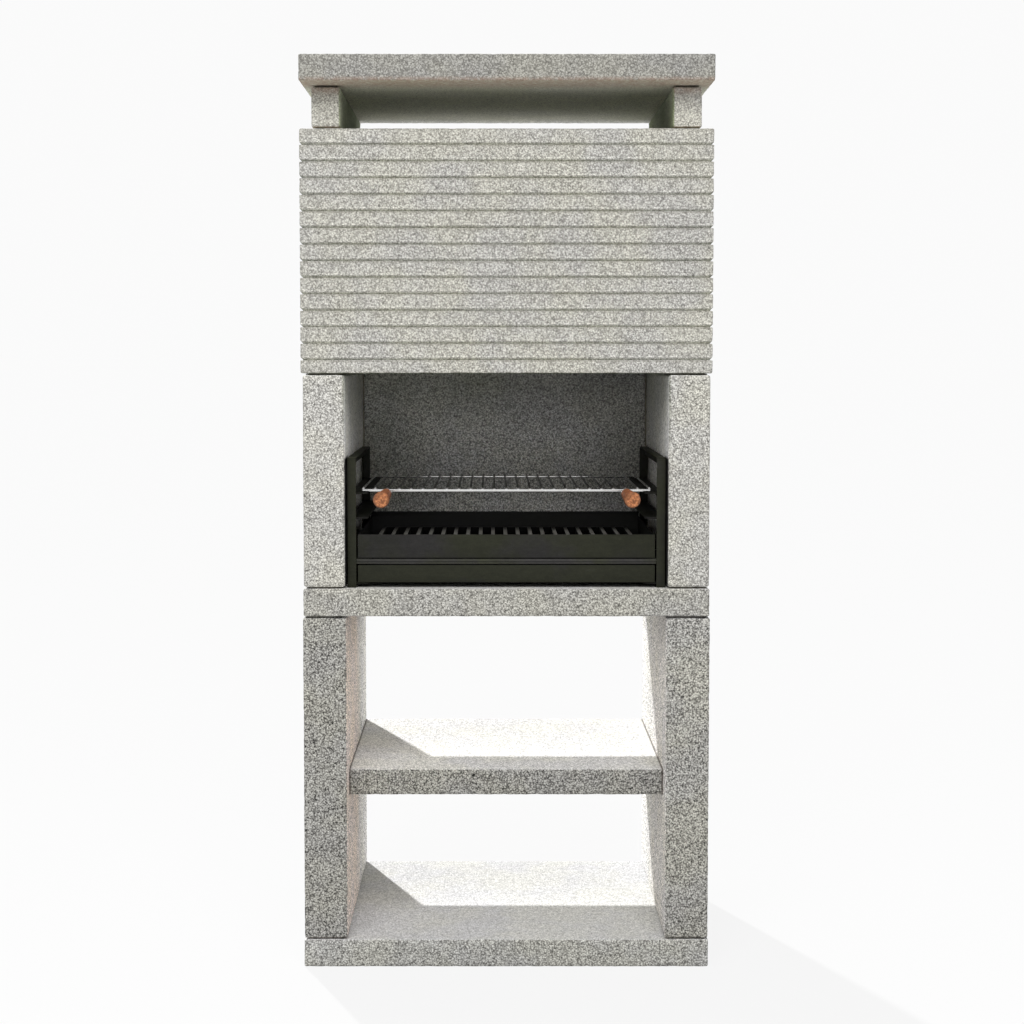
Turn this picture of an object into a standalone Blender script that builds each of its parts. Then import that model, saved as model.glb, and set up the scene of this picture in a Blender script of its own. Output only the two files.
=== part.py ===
"""Outdoor masonry barbecue with a cast hood, a stone cap and an iron grill insert.

Metres, +Z up. The origin is the middle of the base slab's underside, on the
ground, and the open front of the barbecue faces -Y.
"""

import math

import bmesh
import bpy
from mathutils import Euler, Matrix, Vector

# Masonry: each course stands a little proud of the legs' outer faces, or inside them
body_width = 0.780
body_depth = 0.540
base_lip = 0.001
base_height = 0.054
leg_thickness = 0.0835
leg_height = 0.6235
table_inset = 0.001
table_thickness = 0.0535
wall_inset = 0.002
wall_thickness = 0.080
wall_height = 0.4055
back_wall_thickness = 0.060
edge_round = 0.005
edge_round_segments = 2

# Mortar and the hairline that stays between two solids that touch
mortar_joint = 0.003
mortar_recess = 0.006
contact_gap = 0.0003

# Storage shelf, housed in a pocket in each leg
shelf_top_height = 0.375
shelf_thickness = 0.051
shelf_setback = 0.055
shelf_bearing = 0.010
shelf_pocket_clearance = 0.002

# Hood, one hollow casting with clapboard grooves on the front and both sides
hood_lip = 0.0015
hood_height = 0.4615
hood_front_lip = 0.002
hood_side_thickness = 0.080
hood_front_thickness = 0.060
hood_back_thickness = 0.060
groove_count = 14
groove_height = 0.0055
groove_depth = 0.0055
bottom_band_height = 0.0253
top_band_height = 0.0255

# Chimney cap on its two supports
support_width = 0.0555
support_height = 0.076
support_inset = 0.022
support_setback = 0.013
cap_side_inset = 0.004
cap_thickness = 0.050
cap_overhang = 0.045

# Grill insert: two side frames of angle iron and two cross rails
insert_side_gap = 0.003
insert_setback = 0.020
insert_rear_gap = 0.055
insert_height = 0.2505
angle_flange = 0.018
post_face = 0.0165
angle_thickness = 0.003
ledge_reach = 0.036
ledge_drop = 0.015
upper_ledge_height = 0.183
lower_ledge_height = 0.1355
tray_runner_height = 0.057
tray_runner_drop = 0.009
drawer_runner_height = 0.0096
rail_height = 0.0095
rail_thickness = 0.003
rail_step = 0.0018

# Charcoal tray with its loose grate, and the ash drawer below
front_inset = 0.001
tray_side_gap = 0.003
tray_rear_gap = 0.006
sheet_thickness = 0.002
tray_front_height = 0.045
tray_back_height = 0.056
tray_flange = 0.015
grate_bar_count = 21
grate_bar_width = 0.008
grate_side_margin = 0.0265
grate_height = 0.0212
grate_end_bar_width = 0.010
grate_clearance = 0.002
drawer_rear_gap = 0.008
drawer_height = 0.0335

# Cooking rack: wires on two cross rods, and a shank under the front rod for each grip
rack_side_gap = 0.0115
rack_front_inset = 0.015
rack_rear_inset = 0.013
rod_diameter = 0.006
wire_diameter = 0.004
wire_count = 25
wire_end_inset = 0.0022
wire_overhang = 0.002
weld_depth = 0.0006
shank_inset = 0.047
shank_tail = 0.004
shank_bare_length = 0.013
shank_grip_length = 0.070
rod_sides = 10
wire_sides = 8

# Turned wooden grips
grip_length = 0.100
grip_root_diameter = 0.0205
grip_end_diameter = 0.0305
grip_end_round = 0.004
grip_waist_diameter = 0.0245
grip_waist_share = 0.45
grip_end_points = 4
grip_sides = 24
grip_droop = math.radians(2.1)
grip_splay = math.radians(2.3)

# How far a cutter reaches past what it cuts
overrun = 0.010

for old in list(bpy.data.objects):
    bpy.data.objects.remove(old, do_unlink=True)

barbecue = bpy.data.collections.new("masonry_barbecue")
cutters = bpy.data.collections.new("cutters")
for group in (barbecue, cutters):
    bpy.context.scene.collection.children.link(group)

# Levels and planes that the pieces share
front = -body_depth / 2
back = body_depth / 2
leg_bottom = base_height + mortar_joint
leg_top = leg_bottom + leg_height
table_bottom = leg_top + mortar_joint
table_top = table_bottom + table_thickness
wall_bottom = table_top + mortar_joint
wall_top = wall_bottom + wall_height
hood_bottom = wall_top + mortar_joint
hood_top = hood_bottom + hood_height
support_bottom = hood_top + mortar_joint
support_top = support_bottom + support_height
cap_bottom = support_top + mortar_joint
back_wall_face = back - back_wall_thickness
insert_front = front + insert_setback
insert_back = back_wall_face - insert_rear_gap

# Half widths from the middle plane, and what hangs between the posts
leg_outer = body_width / 2
leg_inner = leg_outer - leg_thickness
base_half = leg_outer + base_lip
table_half = leg_outer - table_inset
wall_outer = leg_outer - wall_inset
wall_inner = wall_outer - wall_thickness
hood_half = leg_outer + hood_lip
insert_half = wall_inner - insert_side_gap
post_inner = insert_half - post_face
tray_half = post_inner - tray_side_gap
pan_front = insert_front + front_inset
tray_back = insert_back - angle_flange - tray_rear_gap
drawer_back = insert_back - angle_flange - drawer_rear_gap
rack_half = post_inner - rack_side_gap
groove_pitch = (hood_height - bottom_band_height - groove_height - top_band_height) / (groove_count - 1)
SIDES = (("left", -1), ("right", 1))


def material(name, colour, roughness, metallic=0.0):
    """Return a Principled material."""
    made = bpy.data.materials.new(name)
    made.use_nodes = True
    shader = made.node_tree.nodes["Principled BSDF"]
    shader.inputs["Base Color"].default_value = (*colour, 1)
    shader.inputs["Roughness"].default_value = roughness
    shader.inputs["Metallic"].default_value = metallic
    return made


pale_stone = material("pale_stone", (0.50, 0.49, 0.45), 0.95)
grey_stone = material("grey_stone", (0.32, 0.31, 0.28), 0.95)
mortar = material("mortar", (0.10, 0.095, 0.08), 1.0)
painted_iron = material("painted_iron", (0.032, 0.034, 0.026), 0.6, 0.3)
cast_iron = material("cast_iron", (0.05, 0.05, 0.05), 0.8, 0.6)
chrome = material("chrome", (0.75, 0.75, 0.74), 0.2, 1.0)
turned_wood = material("turned_wood", (0.40, 0.165, 0.075), 0.6)


def add_object(name, data, surface=None):
    """Put mesh or curve data in the scene, as a piece or, with no surface, as a cutter."""
    made = bpy.data.objects.new(name, data)
    if surface:
        data.materials.append(surface)
        barbecue.objects.link(made)
    else:
        cutters.objects.link(made)
        made.hide_render = True
        made.display_type = "WIRE"
    return made


def box(name, low, high, surface=None):
    """A box between two corners, with its origin at its middle."""
    low, high = Vector(low), Vector(high)
    mesh = bpy.data.meshes.new(name)
    shape = bmesh.new()
    bmesh.ops.create_cube(shape, size=1, matrix=Matrix.Diagonal((*(high - low), 1)))
    shape.to_mesh(mesh)
    shape.free()
    made = add_object(name, mesh, surface)
    made.location = (low + high) / 2
    return made


def round_edges(piece):
    """Round every edge of a piece."""
    bevel = piece.modifiers.new("round", "BEVEL")
    bevel.width = edge_round
    bevel.segments = edge_round_segments
    bevel.limit_method = "ANGLE"
    return piece


def combine(piece, other, operation="DIFFERENCE"):
    """Cut another object out of a piece, or weld it on with UNION."""
    step = piece.modifiers.new(operation.lower(), "BOOLEAN")
    step.operation = operation
    step.solver = "EXACT"
    step.object = other
    return piece


def repeat(piece, count, offset):
    """Repeat a piece along an offset."""
    row = piece.modifiers.new("row", "ARRAY")
    row.count = count
    row.use_relative_offset = False
    row.use_constant_offset = True
    row.constant_offset_displace = offset
    return piece


def sided(side, inner, outer):
    """The two X values of a piece on one side, lower one first."""
    return sorted((side * inner, side * outer))


def mortar_bed(name, low, high):
    """A thin bed that stays a hairline clear of the stones above and below it."""
    return box(name, (low[0], low[1], low[2] + contact_gap), (high[0], high[1], high[2] - contact_gap), mortar)


def stone(name, low, high, surface=pale_stone):
    """A cast stone with worn edges."""
    return round_edges(box(name, low, high, surface))


def build_base():
    """The slab on the ground."""
    stone("base_slab", (-base_half, front, 0), (base_half, back, base_height), grey_stone)


def build_legs():
    """Two legs with a stopped pocket for the shelf, each between two mortar beds."""
    for label, side in SIDES:
        x_low, x_high = sided(side, leg_inner, leg_outer)
        leg = stone(f"{label}_leg", (x_low, front, leg_bottom), (x_high, back, leg_top), grey_stone)
        pocket_x = sided(side, leg_inner - overrun, leg_inner + shelf_bearing + contact_gap)
        pocket = box(
            f"{label}_shelf_pocket",
            (pocket_x[0], front + shelf_setback - shelf_pocket_clearance,
             shelf_top_height - shelf_thickness - contact_gap),
            (pocket_x[1], back + overrun, shelf_top_height + shelf_pocket_clearance),
        )
        combine(leg, pocket)
        bed_x = (x_low + mortar_recess, x_high - mortar_recess)
        bed_y = (front + mortar_recess, back - mortar_recess)
        mortar_bed(f"{label}_leg_base_joint", (bed_x[0], bed_y[0], base_height), (bed_x[1], bed_y[1], leg_bottom))
        mortar_bed(f"{label}_leg_table_joint", (bed_x[0], bed_y[0], leg_top), (bed_x[1], bed_y[1], table_bottom))


def build_shelf():
    """The storage shelf, flush with the back and set back at the front."""
    reach = leg_inner + shelf_bearing
    stone(
        "storage_shelf",
        (-reach, front + shelf_setback, shelf_top_height - shelf_thickness),
        (reach, back, shelf_top_height),
        grey_stone,
    )


def build_table():
    """The slab that carries the fire chamber."""
    stone("table_slab", (-table_half, front, table_bottom), (table_half, back, table_top))


def build_chamber():
    """Side walls and a back wall between them, bedded below, above and at the corners."""
    bed_levels = (("table", table_top, wall_bottom), ("hood", wall_top, hood_bottom))
    for label, side in SIDES:
        x_low, x_high = sided(side, wall_inner, wall_outer)
        stone(f"{label}_chamber_wall", (x_low, front, wall_bottom), (x_high, back, wall_top))
        for level, z_low, z_high in bed_levels:
            mortar_bed(
                f"{label}_wall_{level}_joint",
                (x_low + mortar_recess, front + mortar_recess, z_low),
                (x_high - mortar_recess, back - mortar_recess, z_high),
            )
        joint_low, joint_high = sided(side, wall_inner - mortar_joint + contact_gap, wall_inner - contact_gap)
        box(
            f"{label}_back_wall_joint",
            (joint_low, back_wall_face + mortar_recess, wall_bottom + mortar_recess),
            (joint_high, back - mortar_recess, wall_top - mortar_recess),
            mortar,
        )
    reach = wall_inner - mortar_joint
    stone("chamber_back_wall", (-reach, back_wall_face, wall_bottom), (reach, back, wall_top))
    for level, z_low, z_high in bed_levels:
        mortar_bed(
            f"back_wall_{level}_joint",
            (-reach + mortar_recess, back_wall_face + mortar_recess, z_low),
            (reach - mortar_recess, back - mortar_recess, z_high),
        )


def groove_core(hood_front):
    """What a groove leaves standing: full width above, narrower by the groove's depth below."""
    core = box(
        "groove_core",
        (-hood_half, hood_front, -groove_height),
        (hood_half, back + overrun + groove_height, 2 * groove_height),
    )
    slope = groove_depth / groove_height
    for vertex in core.data.vertices:
        level = vertex.co.z + core.location.z
        inset = (groove_height - level) * slope
        vertex.co.x -= math.copysign(inset, vertex.co.x)
        if vertex.co.y < 0:
            vertex.co.y += inset
    return round_edges(core)


def build_hood():
    """The hollow hood, with a row of grooves that stop at the back face."""
    hood_front = front - hood_front_lip
    hood = stone("hood", (-hood_half, hood_front, hood_bottom), (hood_half, back, hood_top))
    flue = box(
        "hood_flue",
        (-hood_half + hood_side_thickness, hood_front + hood_front_thickness, hood_bottom - overrun),
        (hood_half - hood_side_thickness, back - hood_back_thickness, hood_top + overrun),
    )
    groove = box(
        "hood_groove",
        (-hood_half - overrun, hood_front - overrun, 0),
        (hood_half + overrun, back + overrun, groove_height),
    )
    core = groove_core(hood_front)
    combine(groove, core)
    repeat(groove, groove_count, (0, 0, groove_pitch))
    groove.location.z += hood_bottom + bottom_band_height
    core.location.z += hood_bottom + bottom_band_height
    combine(hood, flue)
    combine(hood, groove)


def build_cap():
    """The cap slab on two supports, each bedded below and above."""
    outer = hood_half - support_inset
    inner = outer - support_width
    for label, side in SIDES:
        x_low, x_high = sided(side, inner, outer)
        y_low = front + support_setback
        stone(f"{label}_cap_support", (x_low, y_low, support_bottom), (x_high, back, support_top))
        for level, z_low, z_high in (("hood", hood_top, support_bottom), ("cap", support_top, cap_bottom)):
            mortar_bed(
                f"{label}_support_{level}_joint",
                (x_low + mortar_recess, y_low + mortar_recess, z_low),
                (x_high - mortar_recess, back - mortar_recess, z_high),
            )
    stone(
        "chimney_cap",
        (-hood_half + cap_side_inset, front - cap_overhang, cap_bottom),
        (hood_half - cap_side_inset, back + cap_overhang, cap_bottom + cap_thickness),
    )


def angle_iron(name, corner, face, drop, length, axis):
    """An angle iron whose outline starts at its outer corner.

    The face flange runs along X by face, the other flange along the outline's second
    axis by drop, and both are signed. Axis Z stands the bar up, and axis Y lays it down.
    """
    x_skin = math.copysign(angle_thickness, face)
    y_skin = math.copysign(angle_thickness, drop)
    outline = [(0, 0), (face, 0), (face, y_skin), (x_skin, y_skin), (x_skin, drop), (0, drop)]
    if face * drop < 0:
        outline.reverse()
    curve = bpy.data.curves.new(name, "CURVE")
    curve.dimensions = "2D"
    curve.fill_mode = "BOTH"
    curve.extrude = length / 2
    spline = curve.splines.new("POLY")
    spline.points.add(len(outline) - 1)
    for point, place in zip(spline.points, outline):
        point.co = (*place, 0, 1)
    spline.use_cyclic_u = True
    bar = add_object(name, curve, painted_iron)
    middle = Vector(corner)
    if axis == "Y":
        bar.rotation_euler = Euler((math.pi / 2, 0, 0))
        middle.y += length / 2
    else:
        middle.z += length / 2
    bar.location = middle
    return bar


def build_side_frames():
    """On each side two posts, a top bar, two rack ledges and runners for the tray and drawer."""
    foot = table_top + contact_gap
    post_top = table_top + insert_height
    bar_bottom = post_top - angle_thickness
    run_low = insert_front + angle_thickness + contact_gap
    run_high = insert_back - angle_thickness - contact_gap
    ledges = (
        ("upper_rack_ledge", upper_ledge_height, ledge_drop),
        ("lower_rack_ledge", lower_ledge_height, ledge_drop),
        ("tray_runner", tray_runner_height, tray_runner_drop),
        ("drawer_runner", drawer_runner_height, drawer_runner_height - contact_gap),
    )
    for label, side in SIDES:
        edge = side * insert_half
        post_length = bar_bottom - contact_gap - foot
        angle_iron(f"{label}_front_post", (edge, insert_front, foot), -side * post_face, angle_flange,
                   post_length, "Z")
        angle_iron(f"{label}_rear_post", (edge, insert_back, foot), -side * post_face, -angle_flange,
                   post_length, "Z")
        inner_edge = side * (insert_half - angle_thickness - contact_gap)
        build_top_bar(label, side, edge, inner_edge, post_top)
        for name, height, drop in ledges:
            angle_iron(f"{label}_{name}", (inner_edge, run_low, table_top + height), -side * ledge_reach,
                       -drop, run_high - run_low, "Y")


def build_top_bar(label, side, edge, inner_edge, post_top):
    """A flat strip over the posts, with a flange that hangs between them."""
    strip_x = sorted((edge, edge - side * post_face))
    flange_x = sorted((inner_edge, inner_edge - side * angle_thickness))
    strip_bottom = post_top - angle_thickness
    bar = box(f"{label}_top_bar", (strip_x[0], insert_front, strip_bottom), (strip_x[1], insert_back, post_top),
              painted_iron)
    flange = box(
        f"{label}_top_bar_flange",
        (flange_x[0], insert_front + angle_thickness + contact_gap, post_top - angle_flange),
        (flange_x[1], insert_back - angle_thickness - contact_gap, post_top - angle_thickness / 2),
    )
    combine(bar, flange, "UNION")


def build_rails():
    """The cross rails between the posts, just below the tray."""
    reach = post_inner - contact_gap
    rail_top = table_top + tray_runner_height - rail_step
    for name, y_low in (("front_rail", insert_front), ("rear_rail", insert_back - rail_thickness)):
        box(name, (-reach, y_low, rail_top - rail_height), (reach, y_low + rail_thickness, rail_top), painted_iron)


def build_tray():
    """The charcoal tray: four walls, the rear one higher, on an inturned flange."""
    low = table_top + tray_runner_height + contact_gap
    tray = box("charcoal_tray", (-tray_half, pan_front, low), (tray_half, tray_back, low + tray_back_height),
               painted_iron)
    inside = box(
        "tray_inside",
        (-tray_half + sheet_thickness, pan_front + sheet_thickness, low + sheet_thickness),
        (tray_half - sheet_thickness, tray_back - sheet_thickness, low + tray_back_height + overrun),
    )
    floor_hole = box(
        "tray_floor_hole",
        (-tray_half + tray_flange, pan_front + tray_flange, low - overrun),
        (tray_half - tray_flange, tray_back - tray_flange, low + sheet_thickness + overrun),
    )
    rim = box(
        "tray_rim",
        (-tray_half - overrun, pan_front - overrun, low + tray_front_height),
        (tray_half + overrun, tray_back - sheet_thickness, low + tray_back_height + overrun),
    )
    for cutter in (inside, floor_hole, rim):
        combine(tray, cutter)


def build_grate():
    """The loose grate in the tray: fore-and-aft bars between two end bars."""
    low = table_top + tray_runner_height + contact_gap + sheet_thickness + contact_gap
    y_low = pan_front + sheet_thickness + grate_clearance
    y_high = tray_back - sheet_thickness - grate_clearance
    half = tray_half - grate_side_margin
    pitch = (2 * half - grate_bar_width) / (grate_bar_count - 1)
    grate = box("charcoal_grate", (-half, y_low, low), (half, y_high, low + grate_height), cast_iron)
    slot = box(
        "grate_slot",
        (-half + grate_bar_width, y_low + grate_end_bar_width, low - overrun),
        (-half + pitch, y_high - grate_end_bar_width, low + grate_height + overrun),
    )
    repeat(slot, grate_bar_count - 1, (pitch, 0, 0))
    combine(grate, slot)


def build_drawer():
    """The ash drawer, an open pan."""
    low = table_top + drawer_runner_height + contact_gap
    drawer = box("ash_drawer", (-tray_half, pan_front, low),
                 (tray_half, drawer_back, low + drawer_height), painted_iron)
    inside = box(
        "drawer_inside",
        (-tray_half + sheet_thickness, pan_front + sheet_thickness, low + sheet_thickness),
        (tray_half - sheet_thickness, drawer_back - sheet_thickness, low + drawer_height + overrun),
    )
    combine(drawer, inside)


def rod(name, diameter, sides, start, end, surface=None):
    """A round rod from one point to another, with its origin at its middle."""
    start, end = Vector(start), Vector(end)
    mesh = bpy.data.meshes.new(name)
    shape = bmesh.new()
    bmesh.ops.create_cone(
        shape, cap_ends=True, segments=sides, radius1=diameter / 2, radius2=diameter / 2,
        depth=(end - start).length,
    )
    shape.to_mesh(mesh)
    shape.free()
    made = add_object(name, mesh, surface)
    made.location = (start + end) / 2
    made.rotation_euler = (end - start).to_track_quat("Z", "Y").to_euler()
    return made


def shank_line(side):
    """A shank's middle at the front rod and its unit direction towards the viewer."""
    rod_middle = table_top + upper_ledge_height + contact_gap + rod_diameter / 2
    place = Vector((
        side * (rack_half - shank_inset),
        insert_front + rack_front_inset,
        rod_middle - rod_diameter + weld_depth,
    ))
    heading = Vector((
        side * math.sin(grip_splay),
        -math.cos(grip_splay) * math.cos(grip_droop),
        -math.sin(grip_droop),
    )).normalized()
    return place, heading


def build_rack():
    """The welded cooking rack with both shanks."""
    y_front = insert_front + rack_front_inset
    y_back = insert_back - rack_rear_inset
    rod_middle = table_top + upper_ledge_height + contact_gap + rod_diameter / 2
    wire_middle = rod_middle + (rod_diameter + wire_diameter) / 2 - weld_depth
    rack = rod("cooking_rack", rod_diameter, rod_sides, (-rack_half, y_front, rod_middle),
               (rack_half, y_front, rod_middle), chrome)
    rear = rod("rack_rear_rod", rod_diameter, rod_sides, (-rack_half, y_back, rod_middle),
               (rack_half, y_back, rod_middle))
    first = wire_end_inset - rack_half
    wire_pitch = -2 * first / (wire_count - 1)
    wires = rod("rack_wires", wire_diameter, wire_sides, (first, y_front - wire_overhang, wire_middle),
                (first, y_back + wire_overhang, wire_middle))
    wires.data.transform(wires.rotation_euler.to_matrix().to_4x4())
    wires.rotation_euler = (0, 0, 0)
    repeat(wires, wire_count, (wire_pitch, 0, 0))
    for other in (rear, wires):
        combine(rack, other, "UNION")
    for label, side in SIDES:
        place, heading = shank_line(side)
        shank = rod(f"{label}_shank", rod_diameter, rod_sides, place - heading * shank_tail,
                    place + heading * (shank_bare_length + shank_grip_length))
        combine(rack, shank, "UNION")


def grip_profile():
    """The grip's outline from the middle of its free end, down its side and up its bore."""
    end_radius = grip_end_diameter / 2
    centre_x = end_radius - grip_end_round
    centre_y = grip_length - grip_end_round
    rim = [
        (centre_x + grip_end_round * math.sin(turn), centre_y + grip_end_round * math.cos(turn))
        for turn in (math.pi / 2 * step / grip_end_points for step in range(grip_end_points + 1))
    ]
    waist = (grip_waist_diameter / 2, grip_length * grip_waist_share)
    bore = rod_diameter / 2 + contact_gap
    bore_end = shank_grip_length + contact_gap
    return [(0, grip_length), *rim, waist, (grip_root_diameter / 2, 0), (bore, 0), (bore, bore_end), (0, bore_end)]


def build_grips():
    """Two turned grips pushed on the shanks."""
    profile = grip_profile()
    for label, side in SIDES:
        name = f"{label}_grip"
        mesh = bpy.data.meshes.new(name)
        shape = bmesh.new()
        points = [shape.verts.new((x, 0, z)) for x, z in profile]
        for start, end in zip(points, points[1:]):
            shape.edges.new((start, end))
        shape.to_mesh(mesh)
        shape.free()
        grip = add_object(name, mesh, turned_wood)
        turn = grip.modifiers.new("turn", "SCREW")
        turn.steps = grip_sides
        turn.render_steps = grip_sides
        turn.use_merge_vertices = True
        turn.merge_threshold = 0.0001
        place, heading = shank_line(side)
        grip.location = place + heading * shank_bare_length
        grip.rotation_euler = heading.to_track_quat("Z", "Y").to_euler()


def main():
    """Build every piece."""
    build_base()
    build_legs()
    build_shelf()
    build_table()
    build_chamber()
    build_hood()
    build_cap()
    build_side_frames()
    build_rails()
    build_tray()
    build_grate()
    build_drawer()
    build_rack()
    build_grips()


main()
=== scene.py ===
"""Finishes the outdoor masonry barbecue: stone, mortar, iron, wire and turned wood, in a pale studio.

Run it as a script in Blender 4.5. Metres, +Z up, and the open front faces -Y.
"""

import math

import bmesh
import bpy
from bpy.props import FloatProperty, FloatVectorProperty, IntProperty
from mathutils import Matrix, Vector


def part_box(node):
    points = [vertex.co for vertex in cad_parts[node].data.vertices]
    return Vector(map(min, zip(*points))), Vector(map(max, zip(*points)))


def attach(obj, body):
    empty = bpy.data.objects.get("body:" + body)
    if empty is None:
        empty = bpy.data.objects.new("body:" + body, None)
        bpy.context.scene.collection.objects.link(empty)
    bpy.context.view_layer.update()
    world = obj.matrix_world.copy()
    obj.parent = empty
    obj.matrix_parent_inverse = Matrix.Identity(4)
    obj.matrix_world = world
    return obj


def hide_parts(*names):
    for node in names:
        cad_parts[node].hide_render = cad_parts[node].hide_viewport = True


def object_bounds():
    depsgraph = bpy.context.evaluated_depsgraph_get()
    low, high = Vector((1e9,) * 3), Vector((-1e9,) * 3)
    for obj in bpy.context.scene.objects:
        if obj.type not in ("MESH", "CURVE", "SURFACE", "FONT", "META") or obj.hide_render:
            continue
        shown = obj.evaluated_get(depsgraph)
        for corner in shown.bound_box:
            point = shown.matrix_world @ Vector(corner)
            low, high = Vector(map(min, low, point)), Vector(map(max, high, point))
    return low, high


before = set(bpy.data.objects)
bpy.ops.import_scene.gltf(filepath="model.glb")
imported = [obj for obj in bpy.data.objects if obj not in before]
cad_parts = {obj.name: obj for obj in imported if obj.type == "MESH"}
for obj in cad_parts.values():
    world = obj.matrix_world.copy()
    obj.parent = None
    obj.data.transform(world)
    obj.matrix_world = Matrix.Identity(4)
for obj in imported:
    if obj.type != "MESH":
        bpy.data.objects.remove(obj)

bl_info = {
    "name": "Masonry barbecue finish",
    "version": (1, 0, 0),
    "blender": (4, 5, 0),
    "location": "3D View > Sidebar > Barbecue",
    "description": "Casts, welds and turns the visible pieces of an outdoor masonry barbecue",
    "category": "Object",
}

cad_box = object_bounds()
SIDES = (("left", -1), ("right", 1))
STONES = {
    "grey_stone": ("base_slab", "left_leg", "right_leg", "storage_shelf"),
    "pale_stone": ("table_slab", "left_chamber_wall", "right_chamber_wall", "chamber_back_wall",
                   "left_cap_support", "right_cap_support", "chimney_cap"),
}


def length(name, description, default):
    """A length that a user can change."""
    return FloatProperty(name=name, description=description, default=default, min=0, unit="LENGTH",
                         subtype="DISTANCE", precision=4)


def colour(name, description, default):
    """A colour that a user can change."""
    return FloatVectorProperty(name=name, description=description, default=default, min=0, max=1, size=3,
                               subtype="COLOR")


def amount(name, description, default, high=10.0):
    """A plain factor that a user can change."""
    return FloatProperty(name=name, description=description, default=default, min=0, max=high)


def numbers(name, description, default, **options):
    """Two or three numbers that a user can change."""
    return FloatVectorProperty(name=name, description=description, default=default, size=len(default),
                               **options)


class StoneSettings(bpy.types.PropertyGroup):
    """Sizes and colours of the cast stone."""

    grid: length("Grid", "Spacing of the cast surface's points", 0.0055)
    edge_round: length("Edge round", "Radius of the worn edges", 0.0035)
    pillar_round: length("Pillar round", "Radius of the chamber walls' worn edges", 0.005)
    relief: length("Relief", "Depth of the uneven cast surface", 0.0004)
    relief_size: length("Relief size", "Width of the surface's hollows", 0.014)
    chip_depth: length("Chip depth", "Depth of the chips along the edges", 0.0013)
    chip_size: length("Chip size", "Width of the chips along the edges", 0.009)
    chip_reach: length("Chip reach", "How far from an edge a chip starts", 0.011)
    grain: length("Grain", "Width of the exposed aggregate", 0.0022)
    pebble: colour("Aggregate", "Colour of the exposed aggregate", (1.0, 0.995, 0.925))
    cement: colour("Cement", "Colour of the cement between the aggregate", (0.955, 0.93, 0.85))
    smooth_skin: colour("Smooth skin", "Colour of the faces cast against the mould", (0.80, 0.793, 0.768))
    front_skin: colour("Stained skin", "Colour of those faces near the open front", (0.84, 0.735, 0.665))
    # The soot film is partly painted shade on the sheltered faces inside the chamber and under the cap.
    soot: colour("Soot", "Colour of the soot film", (0.076, 0.094, 0.037))
    scorch: colour("Scorch", "Colour of the smoke stain along the cap", (0.32, 0.215, 0.16))


class HoodSettings(bpy.types.PropertyGroup):
    """Sizes of the grooved hood."""

    groove_count: IntProperty(name="Grooves", description="Number of clapboard grooves", default=14, min=1)
    groove_height: length("Groove height", "Height of a groove's mouth", 0.0055)
    groove_depth: length("Groove depth", "Depth of a groove", 0.0055)
    bottom_band: length("Bottom band", "Height of the band below the lowest groove", 0.0253)
    top_band: length("Top band", "Height of the band above the highest groove", 0.0255)
    side_wall: length("Side wall", "Thickness of the hood's side walls", 0.080)
    end_wall: length("Front and back wall", "Thickness of the hood's front and back walls", 0.060)
    arris: length("Band edge", "Radius of the bands' worn edges", 0.0012)


class IronSettings(bpy.types.PropertyGroup):
    """Sizes and colours of the iron insert."""

    edge_round: length("Edge round", "Radius of the rolled bars' edges", 0.0006)
    olive: colour("Olive paint", "The paint's greener patches", (0.0225, 0.0238, 0.0148))
    plum: colour("Grey paint", "The paint's greyer patches", (0.0240, 0.0232, 0.0225))
    dust: colour("Ash dust", "Dust on the faces that look up", (0.16, 0.155, 0.14))
    cast: colour("Cast iron", "The grate's heat-dulled iron", (0.27, 0.268, 0.25))


class RackSettings(bpy.types.PropertyGroup):
    """Sizes and colours of the cooking rack."""

    rod: length("Rod", "Diameter of the cross rods and shanks", 0.006)
    wire: length("Wire", "Diameter of the long wires", 0.004)
    wire_count: IntProperty(name="Wires", description="Number of long wires", default=25, min=2)
    wire_inset: length("Wire inset", "From a rod's end to the first wire", 0.0022)
    wire_overhang: length("Wire overhang", "How far a wire runs past the rods", 0.002)
    weld_depth: length("Weld depth", "How deep a wire is pressed into a rod", 0.0006)
    shank_inset: length("Shank inset", "From a rod's end to a shank", 0.047)
    shank_tail: length("Shank tail", "How far a shank runs behind the front rod", 0.004)
    shank_bare: length("Bare shank", "From the front rod to the grip", 0.013)
    shank_grip: length("Gripped shank", "Length of the shank inside the grip", 0.070)
    reach: length("Reach", "From the front rod to the rear rod", 0.377)
    chrome: colour("Plating", "Colour of the bright plating", (0.90, 0.90, 0.885))
    burnt: colour("Burnt plating", "Colour of the plating that the fire has dulled", (0.07, 0.066, 0.058))


class GripSettings(bpy.types.PropertyGroup):
    """Sizes and colours of the turned grips."""

    long: length("Length", "Length of a grip", 0.0998)
    root: length("Root diameter", "Diameter at the rack's end", 0.0205)
    waist: length("Waist diameter", "Diameter at the waist", 0.0245)
    waist_share: amount("Waist place", "Share of the length up to the waist", 0.45, 1.0)
    end: length("End diameter", "Diameter at the free end", 0.0305)
    end_round: length("End round", "Radius of the free end's edge", 0.004)
    bore: length("Bore", "Diameter of the hole for the shank", 0.0066)
    bore_depth: length("Bore depth", "Depth of the hole for the shank", 0.0703)
    end_grain: colour("End grain", "Colour of the cut end grain", (0.40, 0.160, 0.068))
    side_grain: colour("Side grain", "Colour of the turned side", (0.31, 0.112, 0.048))
    dark_grain: colour("Dark grain", "Colour of the late-wood lines", (0.13, 0.036, 0.016))


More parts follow.
